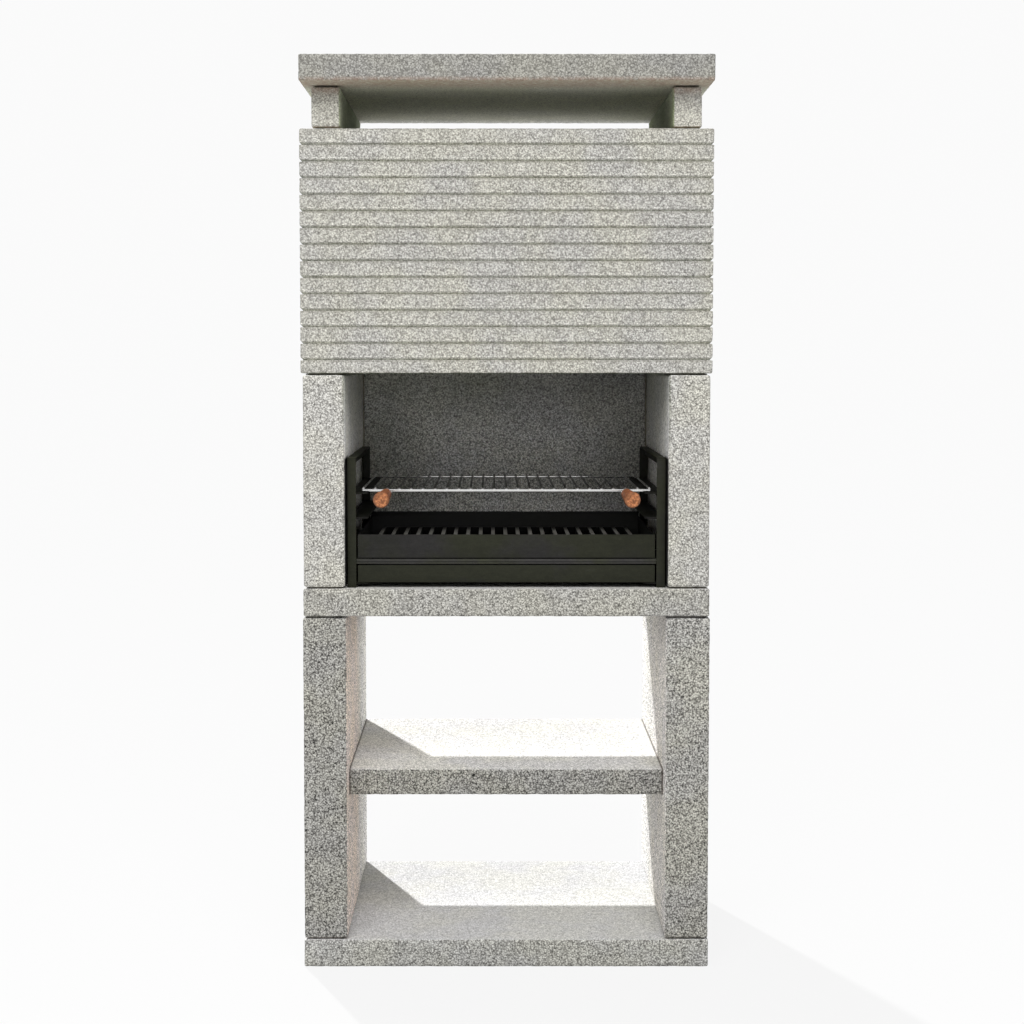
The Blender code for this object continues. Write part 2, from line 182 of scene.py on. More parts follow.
class StageSettings(bpy.types.PropertyGroup):
    """The camera, the lights and the floor."""

    camera_place: numbers("Camera", "Where the camera stands", (-0.0289, -3.675, 1.190), unit="LENGTH",
                          subtype="XYZ")
    camera_pitch: FloatProperty(name="Pitch", description="How far the camera looks down",
                                default=math.radians(3.488), unit="ROTATION", subtype="ANGLE")
    lens: amount("Lens", "Focal length in millimetres, on a 36 mm sensor", 62.98, 500.0)
    shift: numbers("Shift", "Sideways and upward shift of the lens", (0.0202, -0.05))
    sky: amount("Sky", "Strength of the even light from all round", 0.58)
    key: amount("Key light", "Power of the soft light above the front, in watts", 160.0, 2000.0)
    key_place: numbers("Key place", "Where the soft light hangs", (-0.2, -3.3, 4.1), unit="LENGTH",
                       subtype="XYZ")
    key_size: numbers("Key size", "Width and length of the soft light", (3.6, 2.4), unit="LENGTH")
    sun: amount("Sun", "Strength of the light from behind on the left", 5.5)
    sun_travel: numbers("Sun travel", "The direction that sunlight travels in", (0.158, -0.369, -0.3085),
                        subtype="DIRECTION")
    floor: colour("Floor", "Colour of the floor", (0.42, 0.42, 0.42))


def settings(name):
    """One of the groups of settings kept on the scene."""
    return getattr(bpy.context.scene, f"barbecue_{name}")


# Shader expressions


def reckoned(operation, turned=False):
    """A method that puts two values through a Math node, the other one first when it is turned."""

    def method(self, other):
        pair = (other, self) if turned else (self, other)
        return self.tree.math(operation, *pair)

    return method


class Value:
    """A node's output that takes part in sums."""

    def __init__(self, tree, socket):
        self.tree = tree
        self.socket = socket

    __add__ = reckoned("ADD")
    __radd__ = reckoned("ADD", True)
    __sub__ = reckoned("SUBTRACT")
    __rsub__ = reckoned("SUBTRACT", True)
    __mul__ = reckoned("MULTIPLY")
    __truediv__ = reckoned("DIVIDE")
    most = reckoned("MAXIMUM")

    def __neg__(self):
        return 0.0 - self

    def __abs__(self):
        return self.tree.math("ABSOLUTE", self)

    def ramp(self, low, high):
        """0 up to low, 1 from high, smooth between; with low above high it falls."""
        return self.tree.node(
            "ShaderNodeMapRange", {"interpolation_type": "SMOOTHSTEP"},
            {"Value": self, "From Min": low, "From Max": high},
        )


class Tree:
    """A node tree that is written as expressions."""

    def __init__(self, nodes):
        self.tree = nodes

    def node(self, kind, choices, sockets, output=0):
        """Add a node with its settings and its sockets' values or links, and return one output."""
        made = self.tree.nodes.new(kind)
        for choice, value in choices.items():
            setattr(made, choice, value)
        for key, value in sockets.items():
            if isinstance(value, Value):
                self.link(value, made.inputs[key])
            else:
                made.inputs[key].default_value = value
        return Value(self, made.outputs[output])

    def link(self, value, socket):
        """Link a value to a socket."""
        self.tree.links.new(value.socket, socket)

    def math(self, operation, *parts):
        """The output of a Math node."""
        return self.node("ShaderNodeMath", {"operation": operation}, dict(enumerate(parts)))

    def vector(self, operation, *parts, output=0):
        """The output of a Vector Math node."""
        return self.node("ShaderNodeVectorMath", {"operation": operation}, dict(enumerate(parts)), output)

    def seen(self):
        """1 where a ray comes from the camera or from a mirror."""
        ways = [self.node("ShaderNodeLightPath", {}, {}, ray) for ray in ("Is Camera Ray", "Is Glossy Ray")]
        return ways[0].most(ways[1])

    def show(self, first, second, factor, end):
        """Mix two shaders, and link them to the tree's last node."""
        mixed = self.node("ShaderNodeMixShader", {}, {0: factor, 1: first, 2: second})
        self.link(mixed, self.tree.nodes[end].inputs[0])


class Finish(Tree):
    """A Principled material written as expressions on object coordinates."""

    def __init__(self, name, constants):
        self.material = bpy.data.materials.new(name)
        self.material.use_nodes = True
        super().__init__(self.material.node_tree)
        self.shader = self.tree.nodes["Principled BSDF"]
        for socket, value in constants.items():
            self.shader.inputs[socket].default_value = value
        self.place = self.node("ShaderNodeTexCoord", {}, {}, "Object")

    def split(self, vector):
        """The three numbers of a vector."""
        return [self.node("ShaderNodeSeparateXYZ", {}, {0: vector}, axis) for axis in "XYZ"]

    def normal(self):
        """The three numbers of the surface's direction."""
        return self.split(self.node("ShaderNodeTexCoord", {}, {}, "Normal"))

    def noise(self, size, detail=2.0, roughness=0.5, vector=None, output=0):
        """Noise whose blobs are about as wide as the size."""
        return self.node(
            "ShaderNodeTexNoise", {},
            {"Vector": vector or self.place, "Scale": 1 / size, "Detail": detail, "Roughness": roughness},
            output,
        )

    def crumpled(self, size, depth):
        """Object coordinates pushed about by noise."""
        push = self.noise(size, 1.0, output="Color")
        return self.vector("MULTIPLY_ADD", push, (depth, depth, depth), self.place)

    def cells(self, size, output="Distance", vector=None):
        """Cells about as wide as the size."""
        return self.node(
            "ShaderNodeTexVoronoi", {}, {"Vector": vector or self.place, "Scale": 1 / size}, output,
        )

    def mapped(self, scale=(1, 1, 1), location=(0, 0, 0), rotation=(0, 0, 0), kind="POINT"):
        """Object coordinates that are stretched, moved or turned."""
        return self.node(
            "ShaderNodeMapping", {"vector_type": kind},
            {"Vector": self.place, "Location": location, "Rotation": rotation, "Scale": scale},
        )

    def blend(self, factor, first, second):
        """A colour between two others."""
        first, second = [part if isinstance(part, Value) else (*part, 1) for part in (first, second)]
        return self.node("ShaderNodeMix", {"data_type": "RGBA"}, {0: factor, 6: first, 7: second}, 2)

    def shade(self, tint, factor):
        """A colour made darker or lighter."""
        return self.node("ShaderNodeVectorMath", {"operation": "SCALE"}, {0: tint, 3: factor})

    def tinted(self, first, second):
        """Two colours multiplied."""
        return self.vector("MULTIPLY", first, second)

    def feed(self, socket, value):
        """Link a value to one of the shader's sockets."""
        self.link(value, self.shader.inputs[socket])

    def bump(self, height, depth):
        """Press a height, in shares of a depth, into the surface."""
        sockets = {"Height": height, "Distance": depth, "Strength": 1.0}
        self.feed("Normal", self.node("ShaderNodeBump", {}, sockets))


# Materials


class StoneFinish(Finish):
    """Cast stone: exposed aggregate on the front and outer faces, a smooth skin elsewhere."""

    def __init__(self, name, walled):
        """Note where each point lies and which way it faces; a walled stone stands round the chamber."""
        super().__init__(name, {"Specular IOR Level": 0.25})
        self.stone = settings("stone")
        self.spot = x, y, _ = self.split(self.place)
        self.heading = across, along, _ = self.normal()
        self.outer = (across * x).ramp(0.06, 0.2)
        self.facing = (-along).ramp(0.45, 0.8)
        self.behind = (along * y.ramp(0.18, 0.22)).ramp(0.45, 0.8)
        # Painted shade: a chamber wall's faces at the back, other than its outer ones, count as back faces
        # and are darkened with them.
        if walled:
            self.behind = self.behind.most(y.ramp(0.256, 0.262) * (1 - self.outer))
        self.rough = self.outer.most(self.facing).most(self.behind * 0.85)

        size = self.stone.grain
        self.fine = self.noise(size * 0.5, 2.0, 0.7)
        self.grain = self.noise(size, 1.0, 0.6).ramp(0.39, 0.60)
        crumpled = self.crumpled(size * 0.8, size * 1.1)
        self.blob = self.cells(size * 1.6, vector=crumpled).ramp(0.66, 0.30)
        kind = self.cells(size * 1.6, "Color", crumpled)
        self.kind = self.node("ShaderNodeSeparateColor", {}, {0: kind})
        self.pit = self.cells(0.031).ramp(0.13, 0.05) * self.rough
        self.field = self.blob * 0.45 + self.kind * 0.27 + self.grain * 0.28

    def bare(self, tone, smooth_tone, contrast, stain_and_shade=0.0, top=1.0, back=0.66, speckle=0.8,
             tint=(1, 1, 1)):
        """The clean stone's colour, with painted shade where back darkens the back faces and top darkens
        the faces that look up, and a stain near the open front that on the legs comes with painted shade
        and light on their inner faces.
        """
        stone, rough, behind = self.stone, self.rough, self.behind
        _, y, z = self.spot
        up = self.heading[2]
        wander = self.noise(0.10, 3.0)
        cloud = self.noise(0.011, 4.0, 0.8)
        drifting = (2.0 - rough * 1.5) * (1 - up.ramp(0.5, 0.9) * 0.6)
        speckled = (self.field - 0.53) * (rough * (contrast - speckle) + speckle)
        bright = 1 + speckled + (cloud - 0.5) * drifting
        bright = bright * (0.90 + self.fine * 0.20) * (0.93 + wander * 0.14)
        drift = self.blend(wander.ramp(0.35, 0.65), (0.985, 0.98, 1.0), (1.0, 0.99, 0.955))
        drift = self.tinted(drift, self.blend(behind, tint, (1, 1, 1)))
        aggregate = self.tinted(self.blend(self.field, stone.cement, stone.pebble), drift)
        # Painted shade: back darkens the back faces, which the sun lights from behind.
        exposed = self.shade(aggregate, bright * (1 - self.pit * 0.4) * (1 - behind * (1 - back)) * tone)
        stain = y.ramp(0.12, -0.07) * stain_and_shade * (0.6 + wander * 0.8) * (1 - up.ramp(0.3, 0.6))
        skin = self.tinted(self.blend(stain, stone.smooth_skin, stone.front_skin), drift)
        # Painted shade and light on the legs' inner faces: darker at the top, under the table slab, and
        # lighter towards the back.
        if stain_and_shade:
            bright = bright * (1 - z.ramp(0.56, 0.67) * 0.22) * (1 + y.ramp(0.06, 0.22) * 0.22)
        # Painted shade: top darkens the skin on faces that look up.
        skin = self.shade(skin, bright * (1 - up.ramp(0.5, 0.9) * (1 - top)) * smooth_tone)
        return self.blend(rough, skin, exposed)

    def soot_and_shade(self, coat, soot, smoke=None, film=None, fading=0.0, corner=0.0):
        """A film of soot and painted shade on sheltered faces, thicker higher up where smoke is given;
        corner tints it from left to right and thickens its sides as painted shade in the corners, and the
        film can be darkened towards the front and back as painted shade.
        """
        x, y, z = self.spot
        across, along, up = self.heading
        front = (-along).ramp(0.4, 0.8)
        sheltered = (across * x).ramp(-0.03, -0.15).most((-up).ramp(0.5, 0.9))
        sheltered = sheltered.most(front * y.ramp(0.18, 0.2)) * y.ramp(0.34, 0.24)
        if smoke:
            sheltered = sheltered * (0.15 + z.ramp(*smoke) * 0.85)
        patchy = self.noise(0.16, 3.0).ramp(0.25, 0.7)
        film = self.blend(x.ramp(-0.1, 0.12) * corner, film or self.stone.soot, (0.082, 0.083, 0.082))
        # Painted shade: the film is darkened towards the back and towards the front, by the given share.
        shaded_ends = y.ramp(-0.02, 0.34) + y.ramp(-0.05, -0.21) * 0.45
        film = self.shade(film, (0.62 + self.field * 0.76) * (1 - shaded_ends * fading))
        sheltered = sheltered.most(front * abs(x).ramp(0.06, 0.29) * corner)
        return self.blend(sheltered * (soot * 0.75 + patchy * (soot * 0.25)), coat, film)

    def shadowed(self, coat, front, high):
        """Painted shade: black on a wall's inner face beside the side frame's front post, where the gap
        lies in shadow.
        """
        x, y, z = self.spot
        line = (self.heading[0] * x).ramp(-0.22, -0.29) * y.ramp(front + 0.07, front + 0.045)
        line = line * z.ramp(high + 0.004, high - 0.004)
        return self.blend(line * 0.985, coat, (0.006, 0.006, 0.005))

    def scorched(self, coat, level):
        """A brown smoke stain along the cap's lower edge and the supports' tops."""
        _, y, z = self.spot
        edge = z.ramp(level + 0.011, level + 0.001) * z.ramp(level - 0.022, level - 0.008)
        ragged = self.noise(0.012, 3.0, 0.6).ramp(0.25, 0.60)
        under = (-self.heading[2]).ramp(0.3, 0.8) * y.ramp(-0.19, -0.265) * 0.72
        stain = (edge * self.facing * 0.55).most(under) * (0.15 + ragged * 0.85)
        return self.blend(stain, coat, self.stone.scorch)

    def grooved(self, coat, first, pitch, height):
        """Painted light lower down the hood and inside each groove, darker below each groove, and a painted
        highlight on the lip above it.
        """
        z, rough, shown = self.spot[2], self.rough, 1 - self.behind
        ragged = z + (self.noise(0.004, 2.0, 0.6) - 0.5) * 0.0055
        place = self.math("FRACT", (ragged - first) / pitch) * pitch
        # Painted light: the hood is made lighter towards its lowest grooves.
        coat = self.shade(coat, 1 + z.ramp(first + pitch * 9, first) * 0.055)
        # Painted light inside each groove, against the groove's shade.
        coat = self.shade(coat, 1 + place.ramp(height * 1.05, height * 0.7) * shown * 0.25)
        # Darker below each groove.
        darker_below = place.ramp(pitch - 0.0056, pitch - 0.0005) * 0.36 * rough * shown
        # Painted highlight on the band's lower edge just above each groove.
        lip_highlight = place.ramp(height + 0.0032, height + 0.0014) * place.ramp(height * 0.9, height * 1.1) * 0.30
        return self.shade(self.blend(darker_below, coat, (0.155, 0.148, 0.108)), 1 + lip_highlight * rough * shown)

    def housed(self, coat, edge):
        """Dirt and painted shade darken the joint where the shelf's ends enter the legs."""
        joint = abs(self.spot[0]).ramp(edge - 0.0045, edge - 0.0005)
        return self.blend(joint * 0.8, coat, (0.075, 0.055, 0.045))

    def done(self, coat):
        """The finished material."""
        self.feed("Base Color", coat)
        self.feed("Roughness", 0.84 + self.fine * 0.14)
        height = self.blob * 0.6 + self.grain * 0.3 + self.kind * 0.2 + self.fine * 0.3 - self.pit
        self.bump(height * (0.14 + self.rough * 0.86), 0.0006)
        return self.material


def mortar_finish(name, light):
    """Dark damp-looking bedding mortar; light makes its front part lighter, as painted light where a
    recessed joint lies in shade.
    """
    look = Finish(name, {"Specular IOR Level": 0.2})
    lumps = look.noise(0.006, 4.0, 0.65)
    # Painted light: towards the front the mortar is made up to light times lighter.
    bright = (0.55 + lumps * 0.9) * (1 + look.split(look.place)[1].ramp(0.26, 0.225) * (light - 1))
    sand = look.blend(lumps, (0.085, 0.078, 0.06), (0.13, 0.125, 0.105))
    look.feed("Base Color", look.shade(sand, bright))
    look.feed("Roughness", 0.9 + lumps * 0.1)
    look.bump(lumps, 0.0015)
    return look.material


def paint_finish(name, warmth=0.5, dusty=0.08, tone=1.0, charred=False, lean=0.0):
    """Heat-proof paint, dark grey-green with greyer patches, scuffs and a film of ash."""
    iron = settings("iron")
    look = Finish(name, {"Specular IOR Level": 0.18})
    across, along, up = look.normal()
    x, y, _ = look.split(look.place)
    patch = (look.noise(0.12, 4.0, 0.6) - x * lean).ramp(warmth - 0.12, warmth + 0.12)
    fine = look.noise(0.0016, 3.0, 0.7)
    scuff = look.noise(0.02, 4.0, 0.65, look.mapped(scale=(0.35, 1, 1.6)))
    mottle = look.noise(0.007, 4.0, 0.7, look.mapped(scale=(0.6, 1, 1)))
    paint = look.blend(patch, iron.olive, iron.plum)
    worn_light = (0.52 + fine * 0.70) * (0.62 + scuff * 0.60) * ((0.60 + mottle * 0.80) * tone)
    paint = look.shade(paint, worn_light)
    worn = scuff.ramp(0.66, 0.80) * 0.25
    paint = look.blend(worn, paint, (0.060, 0.062, 0.050))
    film = up.ramp(0.5, 0.95) * look.noise(0.03, 4.0, 0.6).ramp(0.3, 0.75) * dusty
    if charred:
        inside = up.ramp(0.5, 0.9).most((-along).ramp(0.5, 0.9) * y.ramp(-0.2, -0.1))
        inside = inside.most((across * x).ramp(-0.03, -0.15))
        paint = look.blend(inside * 0.85, paint, (0.007, 0.007, 0.007))
        film = film * y.ramp(-0.235, -0.245)
    look.feed("Base Color", look.blend(film, paint, iron.dust))
    look.feed("Roughness", 0.48 + fine * 0.12 + film * 0.3 + scuff * 0.14)
    look.bump(fine * 0.5 + scuff * 0.6 + mottle * 0.3, 0.0004)
    return look.material


def grate_finish():
    """Raw cast iron, dulled by heat, with ash on the bars, and painted shade on the bars' sides and far
    ends.
    """
    iron = settings("iron")
    look = Finish("grate_iron", {"Specular IOR Level": 0.3, "Metallic": 0.2})
    up = look.normal()[2]
    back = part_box("charcoal_grate")[1].y
    # Painted shade: near falls from 1 at the bars' front to 0 at their far end, which is darkened.
    near = look.split(look.place)[1].ramp(back - 0.004, back - 0.11)
    sand = look.noise(0.0024, 3.0, 0.7)
    burn = look.noise(0.05, 3.0)
    metal_and_shade = look.blend(burn.ramp(0.35, 0.7), iron.cast, (0.17, 0.155, 0.142))
    # Painted shade: the bars' sides are made darker than their tops.
    topmost = 0.05 + up.ramp(0.8, 0.995) * 0.95
    metal_and_shade = look.shade(metal_and_shade, (0.75 + sand * 0.5) * topmost * (0.10 + near * 0.8))
    # Painted shade: the ash thins and darkens towards the far end.
    ash = up.ramp(0.8, 0.99) * look.noise(0.016, 4.0, 0.65).ramp(0.2, 0.7) * near * 0.85
    look.feed("Base Color", look.blend(ash, metal_and_shade, look.shade(iron.dust, 0.3 + near * 1.1)))
    look.feed("Roughness", 0.72 + sand * 0.22)
    look.bump(sand, 0.0009)
    return look.material


def chrome_finish():
    """Plated rods, and wires whose plating the fire has dulled, with painted light that makes the plating
    lighter towards the rear rod.
    """
    rack = settings("rack")
    rod_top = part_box("cooking_rack")[1].z - rack.wire + rack.weld_depth
    look = Finish("rack_chrome", {"Specular IOR Level": 0.6})
    aside, depth, height = look.split(look.place)
    blotch = look.noise(0.03, 3.0, 0.6)
    marks = look.noise(0.0012, 2.0, 0.6)
    burnt = height.ramp(rod_top - 0.0002, rod_top + 0.0006) * (0.55 + blotch * 0.7)
    burnt = burnt * (1 - abs(aside).ramp(0.235, 0.27) * 0.5)
    plating_and_light = look.blend(blotch.ramp(0.50, 0.75) * 0.3, rack.chrome, (0.52, 0.47, 0.40))
    # Painted light: the plating is darker at the front rod and lighter towards the rear rod.
    plating_and_light = look.shade(plating_and_light, 0.76 + depth.ramp(-0.2, 0.1) * 0.3)
    look.feed("Base Color", look.blend(burnt, plating_and_light, rack.burnt))
    look.feed("Metallic", 0.86 + burnt * 0.1)
    look.feed("Roughness", 0.09 + marks * 0.06 + burnt * 0.36)
    look.bump(marks, 0.00002)
    return look.material


def wood_finish(name, start, heading):
    """Turned wood: growth rings on the end, streaks along the side."""
    grip = settings("grip")
    look = Finish(name, {"Coat Roughness": 0.35, "Specular IOR Level": 0.4})
    turn = heading.to_track_quat("Z", "Y").to_euler()
    along_grip = look.mapped(location=tuple(start), rotation=tuple(turn), kind="TEXTURE")
    wobble = look.noise(0.02, 2.0, vector=along_grip)
    grain = look.node(
        "ShaderNodeTexWave", {"wave_type": "RINGS", "rings_direction": "Z"},
        {"Vector": look.vector("ADD", along_grip, (0.006, 0.004, 0)),
         "Scale": 64.0, "Distortion": 9.0, "Detail": 3.0, "Detail Scale": 1.8},
    )
    streak_place = look.node("ShaderNodeMapping", {"vector_type": "POINT"},
                             {"Vector": along_grip, "Scale": (1.0, 1.0, 0.06)})
    streak = look.noise(0.0016, 4.0, 0.65, streak_place)
    pores = look.cells(0.0011, vector=streak_place).ramp(0.28, 0.12)
    normal = look.node("ShaderNodeTexCoord", {}, {}, "Normal")
    facing = look.vector("DOT_PRODUCT", normal, tuple(heading), output="Value")
    end = facing.ramp(0.6, 0.9)
    knot = look.noise(0.0045, 3.0, 0.6, along_grip)
    blotch = look.noise(0.0065, 2.0, 0.6, along_grip).ramp(0.34, 0.66)
    body = look.blend(end, grip.side_grain, grip.end_grain)
    body = look.blend(grain.ramp(0.45, 0.95) * 0.34, body, grip.dark_grain)
    body = look.blend(pores * (0.35 - end * 0.15), body, grip.dark_grain)
    body = look.blend(knot.ramp(0.52, 0.38) * 0.55, body, grip.dark_grain)
    spread = look.vector("LENGTH", look.vector("MULTIPLY", along_grip, (1, 1, 0)), output="Value")
    rim = spread.ramp(grip.end * 0.36, grip.end * 0.49) * end * (0.25 + knot * 0.6)
    body = look.blend(rim, body, (0.15, 0.085, 0.036))
    light = (0.66 + streak * 0.68) * (0.55 + wobble * 0.28 + knot * 0.64) * (0.66 + blotch * 0.74)
    look.feed("Base Color", look.shade(body, light))
    look.feed("Roughness", 0.42 + end * 0.2 + streak * 0.14)
    look.bump(streak * 0.5 + grain * 0.4 - pores * 0.5, 0.0003)
    return look.material


# Modelling helpers


def edit(piece):
    """Open a piece in edit mode with nothing selected."""
    bpy.context.view_layer.objects.active = piece
    bpy.ops.object.mode_set(mode="EDIT")
    bpy.ops.mesh.select_all(action="DESELECT")


def leave():
    """Close edit mode."""
    bpy.ops.object.mode_set(mode="OBJECT")


def pick(piece, mode, test):
    """In edit mode, select the vertices, edges or faces that pass a test."""
    bpy.ops.mesh.select_mode(type=mode)
    shape = bmesh.from_edit_mesh(piece.data)
    for item in {"VERT": shape.verts, "EDGE": shape.edges, "FACE": shape.faces}[mode]:
        item.select_set(test(item))
    shape.select_flush_mode()
    bmesh.update_edit_mesh(piece.data)


def pick_all():
    """In edit mode, select the whole mesh."""
    bpy.ops.mesh.select_all(action="SELECT")


def start(name, add, **options):
    """Add a primitive and apply its place, so that the object sits at the origin."""
    bpy.ops.object.select_all(action="DESELECT")
    add(**options)
    piece = bpy.context.object
    piece.name = name
    piece.data.name = name
    bpy.ops.object.transform_apply(location=True, rotation=True, scale=True)
    return piece


def start_box(name, low, high):
    """A box between two corners."""
    low, high = Vector(low), Vector(high)
    return start(name, bpy.ops.mesh.primitive_cube_add, size=1, location=(low + high) / 2, scale=high - low)


def choose(*pieces):
    """Select pieces and nothing else, with the first one active."""
    bpy.ops.object.select_all(action="DESELECT")
    for piece in pieces:
        piece.select_set(True)
    bpy.context.view_layer.objects.active = pieces[0]


def apply_all(piece):
    """Apply a piece's modifiers in their order."""
    choose(piece)
    for modifier in list(piece.modifiers):
        bpy.ops.object.modifier_apply(modifier=modifier.name)


def smooth(piece, angle=40):
    """Shade a piece smooth up to an angle in degrees."""
    choose(piece)
    bpy.ops.object.shade_smooth_by_angle(angle=math.radians(angle))


def join(first, others):
    """Join pieces to the first one."""
    choose(first, *others)
    bpy.ops.object.join()
    return first


def repeat(piece, count, offset, merge=0.0):
    """Repeat a piece in a row, and merge what touches within a distance."""
    row = piece.modifiers.new("row", "ARRAY")
    row.count = count
    row.use_relative_offset = False
    row.use_constant_offset = True
    row.constant_offset_displace = offset
    row.use_merge_vertices = merge > 0
    row.merge_threshold = merge
    apply_all(piece)


def finish_piece(piece, node, body, material):
    """Give a finished piece its material and let it stand for its node."""
    piece.data.materials.clear()
    piece.data.materials.append(material)
    piece.name = f"{node}_finish"
    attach(piece, body)
    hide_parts(node)


def grid_box(name, low, high, rounding, step, segments=3):
    """A box with rounded edges whose faces are cut into a grid."""
    piece = start_box(name, low, high)
    edit(piece)
    pick_all()
    bpy.ops.mesh.bevel(offset=rounding, segments=segments, affect="EDGES")
    for axis in range(3):
        run = high[axis] - low[axis] - 2 * rounding
        cuts = round(run / step) - 1
        if cuts < 1:
            continue

        def along(edge):
            line = edge.verts[1].co - edge.verts[0].co
            return line.length > run - rounding / 2 and abs(line[axis]) > 0.999 * line.length

        pick(piece, "EDGE", along)
        bpy.ops.mesh.subdivide(number_cuts=cuts)
    leave()
    return piece


def edge_weight(point, planes, reach):
    """1 on an edge between two planes, 0 at a reach from it."""
    gaps = sorted(abs(point[axis] - level) for axis, level in planes)
    return max(0.0, 1.0 - gaps[1] / reach)


def weather(piece, planes, relief, chips):
    """Sink the surface by noise, and chip it near the edges between the planes."""
    stone = settings("stone")
    group = piece.vertex_groups.new(name="arris")
    for vertex in piece.data.vertices:
        weight = edge_weight(vertex.co, planes, stone.chip_reach)
        if weight > 0:
            group.add([vertex.index], weight, "REPLACE")
    for label, depth, size, contrast, bright, masked in (
        ("relief", relief, stone.relief_size, 1.2, 1.05, False),
        ("chips", chips, stone.chip_size, 2.6, 1.35, True),
    ):
        if not depth:
            continue
        texture = bpy.data.textures.new(f"{piece.name}_{label}", "CLOUDS")
        texture.noise_scale = size
        texture.noise_depth = 2
        texture.contrast = contrast
        texture.intensity = bright
        texture.use_clamp = True
        sink = piece.modifiers.new(label, "DISPLACE")
        sink.texture = texture
        sink.texture_coords = "LOCAL"
        sink.strength = depth
        sink.mid_level = 1.0
        if masked:
            sink.vertex_group = group.name
    apply_all(piece)
    piece.vertex_groups.clear()


def corner_planes(low, high):
    """The six planes of a box as axis and level."""
    return [(axis, corner[axis]) for axis in range(3) for corner in (low, high)]


def carve(piece, low, high):
    """Cut a box out of a piece."""
    cutter = start_box("cutter", low, high)
    cut = piece.modifiers.new("pocket", "BOOLEAN")
    cut.operation = "DIFFERENCE"
    cut.object = cutter
    apply_all(piece)
    bpy.data.objects.remove(cutter)


# Masonry


def groove_rows():
    """The lowest groove's level, and the rise from one groove to the next."""
    hood = settings("hood")
    low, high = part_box("hood")
    run = high.z - low.z - hood.bottom_band - hood.top_band - hood.groove_height
    return low.z + hood.bottom_band, run / (hood.groove_count - 1)


def stone_materials():
    """Each stone's own material, by node."""
    first, pitch = groove_rows()
    grooves = {"first": first, "pitch": pitch, "height": settings("hood").groove_height}
    scorch = {"scorched": {"level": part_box("chimney_cap")[0].z}}
    # Soot films: soot and painted shade on the sheltered faces.
    smoked_and_shaded = {"soot_and_shade": {"soot": 0.9, "film": (0.235, 0.275, 0.15)}, **scorch}
    cap = {"soot_and_shade": {"soot": 0.9, "film": (0.82, 0.83, 0.62), "fading": 0.75}, **scorch}
    post = {"front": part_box("left_front_post")[0].y, "high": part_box("left_top_bar")[1].z}
    walls = {"soot": 0.54, "smoke": (0.98, 1.15)}
    pillar = {"soot_and_shade": walls, "shadowed": post}
    back_wall = {"soot_and_shade": {**walls, "soot": 0.62, "corner": 0.75}}
    shelf = {"housed": {"edge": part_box("right_leg")[0].x}}
    plans = {
        "base_slab": ((0.51, 0.73, 1.6), {"speckle": 0.9, "tint": (0.99, 1.0, 1.02)}, {}),
        "left_leg": ((0.37, 1.07, 1.9), {"stain_and_shade": 1.0, "top": 0.4, "speckle": 2.2}, {}),
        "right_leg": ((0.42, 1.0, 1.9), {"stain_and_shade": 0.15, "top": 0.4, "speckle": 2.2}, {}),
        "storage_shelf": ((0.355, 0.82, 1.95), {"speckle": 1.1}, shelf),
        "table_slab": ((0.445, 0.70, 1.55), {}, {}),
        "left_chamber_wall": ((0.53, 1.29, 1.45), {}, pillar),
        "right_chamber_wall": ((0.515, 1.14, 1.45), {}, pillar),
        "chamber_back_wall": ((0.84, 0.9, 1.4), {"back": 0.40, "tint": (0.985, 0.985, 1.045)}, back_wall),
        "left_cap_support": ((0.485, 0.80, 1.1), {}, smoked_and_shaded),
        "right_cap_support": ((0.53, 0.80, 1.1), {}, smoked_and_shaded),
        "chimney_cap": ((0.31, 0.92, 1.2), {"top": 0.5, "back": 0.75}, cap),
        "hood": ((0.46, 0.70, 1.15), {}, {"soot_and_shade": {"soot": 0.9}, "grooved": grooves}),
    }
    made = {}
    for name, (tones, extras, layers) in plans.items():
        look = StoneFinish(f"{name}_stone", name.endswith("_wall"))
        coat = look.bare(*tones, **extras)
        for layer, options in layers.items():
            coat = getattr(look, layer)(coat, **options)
        made[name] = look.done(coat)
    return made


class BARBECUE_OT_cast_stones(bpy.types.Operator):
    """Cast the slabs, legs, walls, supports and cap"""

    bl_idname = "barbecue.cast_stones"
    bl_label = "Cast the stones"

    def execute(self, context):
        stone = settings("stone")
        for slot, names in STONES.items():
            for name in names:
                low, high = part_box(name)
                rounding = stone.pillar_round if name.endswith("chamber_wall") else stone.edge_round
                piece = grid_box(name, low, high, rounding, stone.grid)
                weather(piece, corner_planes(low, high), stone.relief, stone.chip_depth)
                if name.endswith("_leg"):
                    self.house_shelf(piece, low, high)
                smooth(piece)
                finish_piece(piece, name, "masonry", stones[name])
        return {"FINISHED"}

    def house_shelf(self, leg, low, high):
        """Cut the pocket that the shelf's end sits in."""
        shelf_low, shelf_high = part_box("storage_shelf")
        play = 0.001
        reach = 0.01
        inward = shelf_low.x if low.x < 0 else shelf_high.x
        end = inward - play if low.x < 0 else inward + play
        middle = high.x + reach if low.x < 0 else low.x - reach
        carve(
            leg,
            (min(end, middle), shelf_low.y - play, shelf_low.z),
            (max(end, middle), shelf_high.y + reach, shelf_high.z + play),
        )


